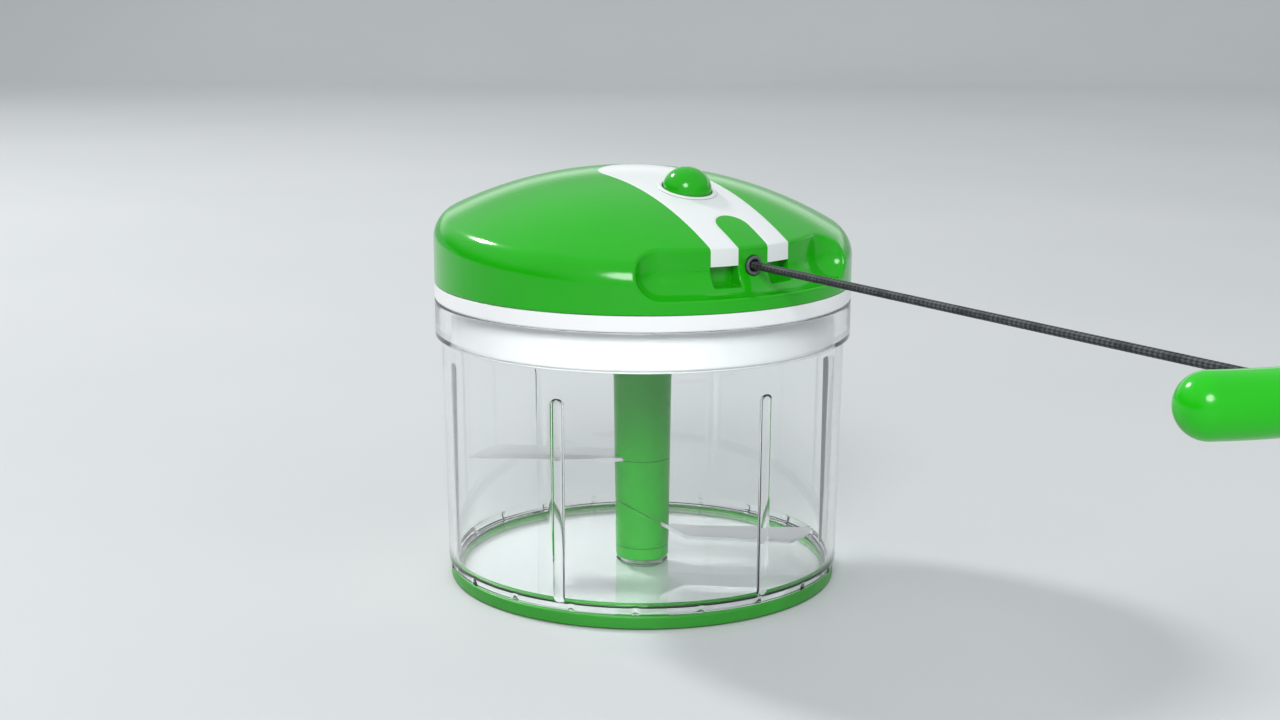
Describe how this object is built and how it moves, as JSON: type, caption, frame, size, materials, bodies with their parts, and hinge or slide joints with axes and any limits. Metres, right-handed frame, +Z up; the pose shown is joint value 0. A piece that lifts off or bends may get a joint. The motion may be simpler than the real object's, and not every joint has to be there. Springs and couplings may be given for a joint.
{
  "type": "pull cord food chopper",
  "caption": "Hand food chopper: clear bowl with ribs, green domed lid with a cord reel, pull handle on a cord, button, and a column carrying curved blades.",
  "frame": {"origin": "on the bowl's axis, at table level", "axes": "+Z up; the cord is pulled towards -Y; +X to the right seen from behind the handle looking along +Y"},
  "size_m": [0.13, 0.3293, 0.1313],
  "materials": {
    "green_plastic": "glossy moulded plastic, leaf green",
    "green_soft": "soft green anti-slip ring, satin",
    "white_plastic": "glossy moulded plastic, white",
    "clear_plastic": "clear moulded plastic",
    "natural_plastic": "uncoloured moulded plastic",
    "grey_plastic": "grey moulded plastic",
    "steel": "bright steel",
    "blade_steel": "satin stainless steel with a ground edge",
    "bronze": "sintered bronze",
    "rubber": "black rubber",
    "braided_cord": "dark grey braided cord"
  },
  "bodies": {
    "bowl": {"bowl": "clear_plastic", "bowl_pin": "steel", "base_ring": "green_soft"},
    "blades": {"bottom_cap": "green_plastic", "hub_tube": "white_plastic", "lower_sleeve": "green_plastic", "middle_sleeve": "green_plastic", "upper_sleeve": "green_plastic", "lower_blade": "blade_steel", "upper_blade": "blade_steel"},
    "lid": {"lid_base": "white_plastic", "lid_cover": "green_plastic", "lid_trim": "white_plastic", "cord_eyelet": "grey_plastic", "button_collar": "white_plastic", "button_spring": "steel", "spring_housing": "natural_plastic", "return_spring": "steel", "lower_bush": "bronze", "upper_bush": "bronze", "cover_screw_1": "steel", "cover_screw_2": "steel", "cover_screw_3": "steel", "inner_cord": "braided_cord", "pull_cord": "braided_cord"},
    "reel": {"cord_reel": "natural_plastic", "wound_cord": "braided_cord", "drive_shaft": "steel", "thrust_washer": "natural_plastic", "drive_coupler": "white_plastic"},
    "button": {"button_cap": "green_plastic", "brake_tip": "rubber"},
    "handle": {"handle": "green_plastic", "handle_plug": "green_plastic", "cord_knot": "braided_cord"}
  },
  "joints": [
    {"name": "lid_lift", "type": "slide", "parent": "bowl", "child": "lid", "axis": [0, 0, 1], "range_m": [0, 0.12]},
    {"name": "pull", "type": "slide", "parent": "lid", "child": "handle", "axis": [0, -1, 0], "range_m": [-0.1927, 0], "deforming": ["pull_cord"]},
    {"name": "reel_spin", "type": "hinge", "parent": "lid", "child": "reel", "pos_m": [0, 0, 0.1058], "axis": [0, 0, 1], "range_deg": [-614, 0]},
    {"name": "blade_spin", "type": "hinge", "parent": "bowl", "child": "blades", "pos_m": [0, 0, 0.0372], "axis": [0, 0, 1], "range_deg": [-614, 0]},
    {"name": "button_press", "type": "slide", "parent": "lid", "child": "button", "axis": [0, 0.2426, -0.9701], "range_m": [0, 0.0025], "stiffness_N_per_m": 300, "springref_m": -0.002, "deforming": ["button_spring"]}
  ],
  "couplings": [
    {"joint": "reel_spin", "follows": "pull", "rad_per_m": 55.556},
    {"joint": "blade_spin", "follows": "pull", "rad_per_m": 55.556}
  ]
}
